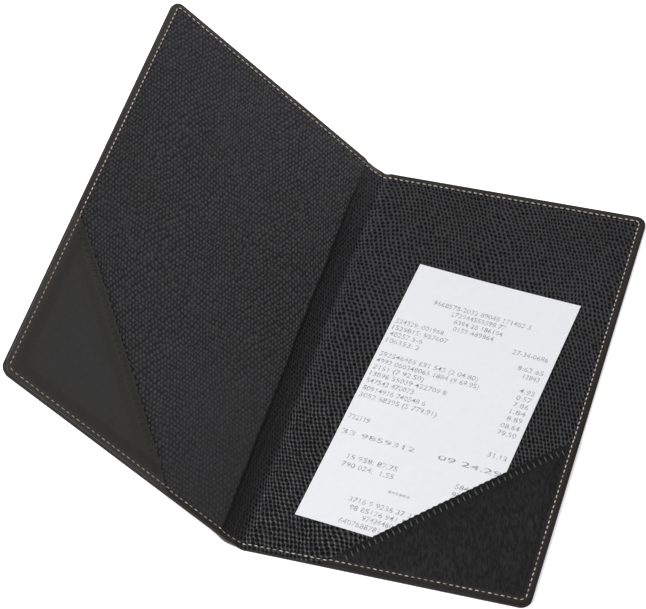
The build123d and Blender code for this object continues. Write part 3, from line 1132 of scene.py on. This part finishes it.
# ------------------------------------------------------------------ stitches
def stitch_rows(centre, along, up, length, width, height, chance):
    """Short plump stitches, one for each row of centre.

    Each is a tube of 5 rings of 6 points. The ring at t from -1 to 1 has about the radius
    (1 - 0.86 t^4)^(1/2) of full, and dives by t^4 times 0.55 of the tube's height. The
    columns of chance vary its length, yaw, place and shade."""
    t = np.array([-1.0, -0.72, 0.0, 0.72, 1.0])
    plump = np.sqrt(np.clip(1 - 0.86 * t**4, 0, 1)) * (1 - 0.06 * t**2)
    angle = np.arange(6) * pi / 3 + pi / 6
    side = np.cross(up, along)
    length = length * (1 + 0.14 * (chance[:, 0] - 0.5))
    yaw = (chance[:, 1] - 0.5) * 0.13
    ahead = along * np.cos(yaw)[:, None] + side * np.sin(yaw)[:, None]
    side = np.cross(up, ahead)
    step = ahead[:, None] * (length[:, None] * t / 2)[..., None]
    dive = up[:, None] * (-(t**4) * 0.55 * height)[None, :, None]
    shift = side * ((chance[:, 2] - 0.5) * 0.12 * width)[:, None]
    spine = (centre + shift)[:, None] + step + dive
    ring = side[:, None, None] * (np.cos(angle) * width / 2)[:, None]
    ring = ring + up[:, None, None] * (np.sin(angle) * height / 2)[:, None]
    verts = spine[:, :, None] + ring * plump[None, :, None, None]
    parts = (t[:, None], angle / (2 * pi), chance[:, 3, None, None])
    twist = np.stack([np.broadcast_to(part, verts.shape[:3]) for part in parts], -1)
    ring_index = np.arange(t.size * angle.size).reshape(t.size, angle.size)
    quads = quads_of(np.concatenate([ring_index, ring_index[:, :1]], 1), flip=True)
    start = (np.arange(len(centre)) * ring_index.size)[:, None, None]
    faces = (quads[None] + start).reshape(-1, 4).tolist()
    caps = np.stack([ring_index[0], ring_index[-1, ::-1]])
    faces += (caps[None] + start).reshape(-1, angle.size).tolist()
    return verts.reshape(-1, 3), faces, twist.reshape(-1, 3)


def seam_places(pitch):
    """Stitch centres and headings along the seam of the back half, laid flat.

    The path runs from mid-spine at the head to the fore-edge, down it, and back to
    mid-spine at the foot, with a quarter circle at each corner."""
    margin = sizes().seam_margin / MM
    r = CORNER_RADIUS - margin
    far, side = COVER_WIDTH - margin - r, HALF_LENGTH - margin - r
    runs = np.cumsum([0, far - MID_SPINE, pi * r / 2, 2 * side, pi * r / 2, far - MID_SPINE])
    count = int(round(runs[-1] / pitch))
    d = (np.arange(count) + 0.5) * runs[-1] / count
    leg = np.clip(np.searchsorted(runs, d, side="right") - 1, 0, 4)
    d = d - runs[leg]
    a = d / r
    turn_s, turn_y, nil = np.sin(a), np.cos(a), 0 * d
    choices = (
        (MID_SPINE + d, far + r * turn_s, far + r + nil, far + r * turn_y, far - d),
        (side + r + nil, side + r * turn_y, side - d, -side - r * turn_s, -side - r + nil),
        (1 + nil, turn_y, nil, -turn_s, -1 + nil),
        (nil, -turn_s, -1 + nil, -turn_y, nil),
    )
    return [np.choose(leg, choice) for choice in choices]


def on_surface(s, y, ds, dy, h):
    """Frames for stitches on the folded strip: centre, unit run and unit up, metres."""
    centre = fold(s, y, h)
    along = fold(s + 0.05 * ds, y + 0.05 * dy, h) - fold(s - 0.05 * ds, y - 0.05 * dy, h)
    along = along / np.linalg.norm(along, axis=1, keepdims=True)
    up = fold(s, y, h + 0.1) - centre
    up = up - along * np.sum(up * along, axis=1, keepdims=True)
    return centre, along, up / np.linalg.norm(up, axis=1, keepdims=True)


def seam_stitches(front, inside, seed):
    """The stitches of one half's seam, on the lining side or the outer side."""
    width = sizes().thread_width
    s, y, ds, dy = seam_places(sizes().stitch_pitch / MM)
    shift = sizes().seam_margin / MM - seam_inset(mirrored(s, front), y)
    s, y = s - dy * shift, y + ds * shift
    from_corner = (COVER_WIDTH - s) + (y + HALF_LENGTH)
    if inside:
        level = lining_level(mirrored(s, front), y)
        level = np.where(from_corner < POCKET_LEG + 1.2, LINING_TOP + POCKET_LEATHER, level)
        level = level - STITCH_SINK + STITCH_SINK / 2
    else:
        level = np.full(len(s), -OUTER_THICKNESS + STITCH_SINK)
    run = -1.0 if front else 1.0
    centre, along, up = on_surface(mirrored(s, front), y, run * ds, dy, level)
    if not inside:
        up = -up
    chance = np.random.default_rng(seed).random((len(s), 4))
    # Stitches towards the foot, more so on the front cover, and beside the pockets lean towards
    # the tan colour.
    tan_share = smooth((20 - y) / 90) * (0.5 if front else 0.1)
    beside_pocket = from_corner < POCKET_LEG
    tan_share = tan_share + 0.3 * beside_pocket * (1.0 if front else y < -HALF_LENGTH + 6)
    chance[:, 3] = np.clip(chance[:, 3] * 0.8 + tan_share, 0, 1)
    height = width * STITCH_FLATNESS
    return stitch_rows(centre, along, up, sizes().stitch_length, width, height, chance)


class PRESENTER_OT_seam(bpy.types.Operator):
    """Sew the cream seam round both halves, inside and outside"""

    bl_idname = "presenter.seam"
    bl_label = "Edge seam"

    def execute(self, context):
        cream, tan = colours().seam_thread, colours().seam_tan
        material = thread("cream_seam_thread", cream, tan, 0.5, 0.35)
        rows = (("edge", True, "needle"), ("bobbin", False, "bobbin"))
        for side, front in SIDES:
            for kind, inside, label in rows:
                seed = sizes().seed + 2 * front + inside
                verts, faces, twist = seam_stitches(front, inside, seed)
                name = f"{side}_{label}_thread"
                piece = new_piece(name, verts, faces, material, "seam_thread", twist=twist)
                bend(piece, front)
                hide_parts(f"{side}_{kind}_stitches", f"spine_{kind}_stitches")
        return {"FINISHED"}


def hem_places():
    """Centres and headings of the hem's stitches on the back cover, laid flat."""
    line, pitch = sizes().hem_line / MM, sizes().hem_pitch / MM
    half = POCKET_REACH - line - ROOT_TWO * (sizes().seam_margin / MM + HEM_CLEARANCE)
    count = 2 * int(half / pitch)
    across = (np.arange(count) + 0.5 - count / 2) * pitch
    inner = POCKET_REACH - line + fold_bow(line, across / POCKET_REACH)
    s, y = from_corner_axes(inner, across)
    heading = 3 * pi / 4 + sizes().hem_slant
    return s, y, cos(heading) + 0 * s, sin(heading) + 0 * s


class PRESENTER_OT_hems(bpy.types.Operator):
    """Stitch the turned hem of each pocket"""

    bl_idname = "presenter.hems"
    bl_label = "Hem stitches"

    def execute(self, context):
        dark = colours().hem_thread
        glossy = thread("dark_hem_thread", dark, dark, 0.32, 0.7)
        # The front hem thread is the same dark thread painted darker by 0.8, as painted shade,
        # and rougher.
        dull = thread("shaded_dull_hem_thread", rgba(dark, 0.8), rgba(dark, 0.8), 0.6, 0.3)
        s, y, ds, dy = hem_places()
        rise = POCKET_RISE * pocket_risen(np.minimum(COVER_WIDTH - s, y + HALF_LENGTH))
        level = LINING_TOP + POCKET_LEATHER + rise - HEM_SINK
        for side, front, material in (("back", False, glossy), ("front", True, dull)):
            run = -1.0 if front else 1.0
            centre, along, up = on_surface(mirrored(s, front), y, run * ds, dy, level)
            chance = np.random.default_rng(sizes().seed + 40 + front).random((len(s), 4))
            width, height = (size * MM for size in HEM_THREAD)
            verts, faces, twist = stitch_rows(
                centre, along, up, sizes().hem_stitch, width, height, chance
            )
            name = side + "_hem_thread"
            piece = new_piece(name, verts, faces, material, "hem_thread", twist=twist)
            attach(piece, side + "_cover")
            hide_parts(side + "_hem_stitches")
        return {"FINISHED"}


# ------------------------------------------------------------------ guest check
def check_to_cover(a, b):
    """A place on the check, a across and b up from its middle, mm, as s and y."""
    middle = (CHECK_LOW + CHECK_HIGH) / 2
    s = middle[0] - BACK_CREASE[0] + a * cos(CHECK_TURN) - b * sin(CHECK_TURN)
    return s, middle[1] + a * sin(CHECK_TURN) + b * cos(CHECK_TURN)


def check_level(a, b):
    """The height of the check's underside above the crease, mm: flat in the pocket, with
    shallow waves beyond it and both corners of its head curled up a little."""
    s, y = check_to_cover(a, b)
    inside_pocket = POCKET_LEG - (COVER_WIDTH - s) - (y + HALF_LENGTH)
    free = smooth((-inside_pocket - 2) / 30)
    head = smooth((b - 20) / 60)
    wave = 0.16 * (1 + np.sin(b / 23 + 0.4)) + 0.12 * (1 + np.sin(a / 17 - b / 41))
    curl = 0.35 * head * (a / check_half_size()[0]) ** 2
    return LINING_TOP + 0.045 + free * (wave + curl)


def check_half_size():
    """Half the check's width and half its length, mm."""
    return sizes().check_width / MM / 2, sizes().check_length / MM / 2


def paper_sheet():
    """The guest check: a closed thin slab from check_level() up by its paper's thickness."""
    lines = [stations((-half, half, 2.0)) for half in check_half_size()]
    a, b = np.meshgrid(*lines, indexing="ij")
    level = check_level(a, b)
    s, y = check_to_cover(a, b)
    top, bottom = fold(s, y, level + CHECK_PAPER), fold(s, y, level)
    return slab(top, bottom, np.arange(a.shape[0]), np.arange(a.shape[1]))


# Each line of print: (left edge, width, baseline down from the head, figures), in mm.
# A hash stands for a figure drawn at random.
PRINT_LINES = (
    (14.5, 48.0, 21.2, "#######-#### ##### ###### #"),
    (24.6, 27.0, 25.1, "############ ##"),
    (27.5, 24.0, 29.2, "#### ## ######"),
    (28.5, 20.0, 33.2, "#### ######"),
    (1.8, 23.6, 37.3, "######: ######"),
    (59.4, 17.2, 37.3, "##-##-####"),
    (1.8, 27.2, 41.4, "#######: ######"),
    (1.8, 16.2, 45.4, "##### #-#"),
    (64.8, 12.3, 45.4, "#:## ##"),
    (1.8, 16.3, 49.5, "######: #"),
    (68.8, 7.8, 49.5, "#####"),
    (1.8, 48.2, 57.9, "######### ### ### (# ##.##)"),
    (1.8, 50.2, 62.0, "#### ######### #### (# ##.##)"),
    (1.8, 24.8, 66.1, "#### (# ##.##)"),
    (1.8, 37.6, 70.2, "##### ##### ###### #"),
    (1.8, 23.0, 74.5, "###### ######"),
    (1.8, 30.5, 79.0, "######## ###### #"),
    (1.8, 37.6, 83.2, "#### ##### (# ###.##)"),
    *((70.0, 7.3, down, "#.##") for down in (57.9, 62.0, 66.1, 70.2, 74.5)),
    *((68.6, 8.9, down, "##.##") for down in (79.0, 83.2)),
    (1.8, 10.2, 96.4, "######"),
    (68.8, 9.0, 96.4, "##.##"),
    (2.0, 35.3, 105.3, "## #######"),
    (48.5, 30.0, 105.3, "## ##.##"),
    (10.0, 24.0, 117.9, "## ###: ##.##"),
    (61.3, 17.0, 117.9, "### ##.##"),
    (9.0, 24.8, 122.4, "### ###:  #.##"),
    (61.3, 17.0, 122.4, "### ##.##"),
    (34.3, 10.3, 131.2, "******"),
    (19.4, 40.0, 139.6, "#### # #### ## ######"),
    (21.3, 36.0, 143.9, "## ##### ### ######"),
    (28.8, 20.0, 147.8, "###########"),
    (19.4, 40.0, 152.0, "########## ## #######"),
)


def line_outline(words, width):
    """The outline of a line of print, made from a text object: points in mm, drawn out
    to the wanted width, and faces."""
    curve = bpy.data.curves.new("print", "FONT")
    curve.body, curve.size, curve.resolution_u = words, PRINT_SIZE, 2
    curve.extrude, curve.offset = 0.01, 0.02
    holder = new_object("print", curve)
    graph = bpy.context.evaluated_depsgraph_get()
    mesh = bpy.data.meshes.new_from_object(holder.evaluated_get(graph))
    points = np.zeros(len(mesh.vertices) * 3, np.float32)
    mesh.vertices.foreach_get("co", points)
    points = points.reshape(-1, 3)
    faces = [list(face.vertices) for face in mesh.polygons]
    bpy.data.objects.remove(holder)
    bpy.data.meshes.remove(mesh)
    bpy.data.curves.remove(curve)
    span = points[:, 0].max() - points[:, 0].min()
    points[:, 0] = (points[:, 0] - points[:, 0].min()) * width / span
    return points, faces


def print_mesh():
    """The printed figures as one mesh, laid a hair above the paper's face."""
    half_width, half_length = check_half_size()
    chance = np.random.default_rng(sizes().seed)
    verts, faces, count = [], [], 0
    for left, width, down, pattern in PRINT_LINES:
        figures = (str(chance.integers(10)) if c == "#" else c for c in pattern)
        points, outline = line_outline("".join(figures), width)
        verts.append(points + np.array([left, -down, 0]))
        faces += [[count + v for v in face] for face in outline]
        count += len(points)
    flat = np.concatenate(verts)
    a, b = flat[:, 0] - half_width, flat[:, 1] + half_length
    s, y = check_to_cover(a, b)
    level = check_level(a, b) + CHECK_PAPER + PRINT_LIFT + flat[:, 2]
    return fold(s, y, level), faces


class PRESENTER_OT_guest_check(bpy.types.Operator):
    """Tuck the printed guest check into the back cover's pocket"""

    bl_idname = "presenter.guest_check"
    bl_label = "Guest check"

    def execute(self, context):
        verts, faces = paper_sheet()
        white, ink = check_paper(colours()), print_ink(colours())
        paper = new_piece("guest_check_paper", verts, faces, white, "check_paper")
        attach(paper, "guest_check")
        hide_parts("guest_check")
        verts, faces = print_mesh()
        figures = new_piece("guest_check_figures", verts, faces, ink, "check_paper")
        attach(figures, "guest_check")
        return {"FINISHED"}


# ------------------------------------------------------------------ stage
CAMERA_PLACE = (0.29802, -0.78962, 1.0259)
CAMERA_RIGHT = (0.9553, 0.28769, -0.06809)
CAMERA_DOWN = (0.17719, -0.74153, -0.6471)
CAMERA_AHEAD = (-0.23665, 0.60611, -0.75936)
FOCAL_PIXELS, PHOTO_WIDTH = 2875.2, 646
SENSOR_WIDTH = 36.0
SURROUND_LIGHT = 0.14

# Each light: (name, place, size, power, colour).
LIGHTS = (
    ("key_softbox", (-0.5, -0.7, 1.75), 1.0, 30.8, (1.0, 0.99, 0.975)),
    ("side_panel", (0.98, 0.84, 0.40), 0.8, 1.7, (0.97, 0.985, 1.0)),
    ("left_spot", (-0.7, 0.28, 1.18), 0.32, 4.5, (1.0, 1.0, 1.0)),
)


def studio_floor():
    """A large square a hair below the table's level."""
    reach = 6.0
    corners = np.array([[-1, -1, 0], [1, -1, 0], [1, 1, 0], [-1, 1, 0]]) * reach
    mesh = bpy.data.meshes.new("studio_floor")
    mesh.from_pydata((corners - [0, 0, FLOOR_DROP * MM]).tolist(), [], [[0, 1, 2, 3]])
    mesh.materials.append(floor_paint())
    floor = new_object("studio_floor", mesh)


def studio_lights():
    """Soft area lights that face the object, and an even pale surround."""
    for name, place, size, power, colour in LIGHTS:
        light = bpy.data.lights.new(name, "AREA")
        light.shape, light.size = "DISK", size
        light.energy, light.color = power, colour
        lamp = new_object(name, light)
        lamp.location = place
        lamp.rotation_mode = "QUATERNION"
        lamp.rotation_quaternion = (-Vector(place)).to_track_quat("-Z", "Y")
    world = bpy.data.worlds.new("studio_surround")
    world.use_nodes = True
    surround = world.node_tree.nodes["Background"]
    surround.inputs["Color"].default_value = (1.0, 1.0, 1.0, 1)
    surround.inputs["Strength"].default_value = SURROUND_LIGHT
    bpy.context.scene.world = world


def studio_camera():
    """A camera with the photograph's view, as fitted to the object's corners."""
    camera = bpy.data.cameras.new("studio_camera")
    camera.sensor_width = SENSOR_WIDTH
    camera.lens = FOCAL_PIXELS / PHOTO_WIDTH * SENSOR_WIDTH
    camera.clip_start, camera.clip_end = 0.05, 30.0
    holder = new_object("studio_camera", camera)
    right, down, ahead = (Vector(v) for v in (CAMERA_RIGHT, CAMERA_DOWN, CAMERA_AHEAD))
    turned = Matrix((right, -down, -ahead)).transposed().to_4x4()
    turned.translation = Vector(CAMERA_PLACE)
    holder.matrix_world = turned
    bpy.context.scene.camera = holder


class PRESENTER_OT_stage(bpy.types.Operator):
    """Set the pale floor, the soft lights and the camera"""

    bl_idname = "presenter.stage"
    bl_label = "Stage"

    def execute(self, context):
        studio_floor()
        studio_lights()
        studio_camera()
        context.scene.view_settings.view_transform = "Standard"
        return {"FINISHED"}


# ------------------------------------------------------------------ panel and start
OPERATORS = (
    PRESENTER_OT_outer_leather,
    PRESENTER_OT_boards,
    PRESENTER_OT_lining,
    PRESENTER_OT_pockets,
    PRESENTER_OT_seam,
    PRESENTER_OT_hems,
    PRESENTER_OT_guest_check,
    PRESENTER_OT_stage,
)


class PRESENTER_PT_panel(bpy.types.Panel):
    """Lists the presenter's pieces, sizes and colours"""

    bl_idname = "PRESENTER_PT_panel"
    bl_label = "Guest check presenter"
    bl_space_type = "VIEW_3D"
    bl_region_type = "UI"
    bl_category = "Presenter"

    def draw(self, context):
        column = self.layout.column()
        for operator in OPERATORS:
            column.operator(operator.bl_idname)
        for group in (context.scene.presenter_sizes, context.scene.presenter_colours):
            box = self.layout.box()
            for key in group.bl_rna.properties.keys():
                if key not in {"rna_type", "name"}:
                    box.prop(group, key)


CLASSES = (PresenterSizes, PresenterColours, *OPERATORS, PRESENTER_PT_panel)


def register():
    """Registers the classes and hangs the properties on the scene."""
    for item in CLASSES:
        bpy.utils.register_class(item)
    bpy.types.Scene.presenter_sizes = PointerProperty(type=PresenterSizes)
    bpy.types.Scene.presenter_colours = PointerProperty(type=PresenterColours)


def unregister():
    """Takes the properties and the classes away again."""
    del bpy.types.Scene.presenter_colours
    del bpy.types.Scene.presenter_sizes
    for item in reversed(CLASSES):
        bpy.utils.unregister_class(item)


def main():
    """Builds every piece in order."""
    register()
    for operator in OPERATORS:
        group, name = operator.bl_idname.split(".")
        getattr(getattr(bpy.ops, group), name)()


if __name__ == "__main__":
    main()
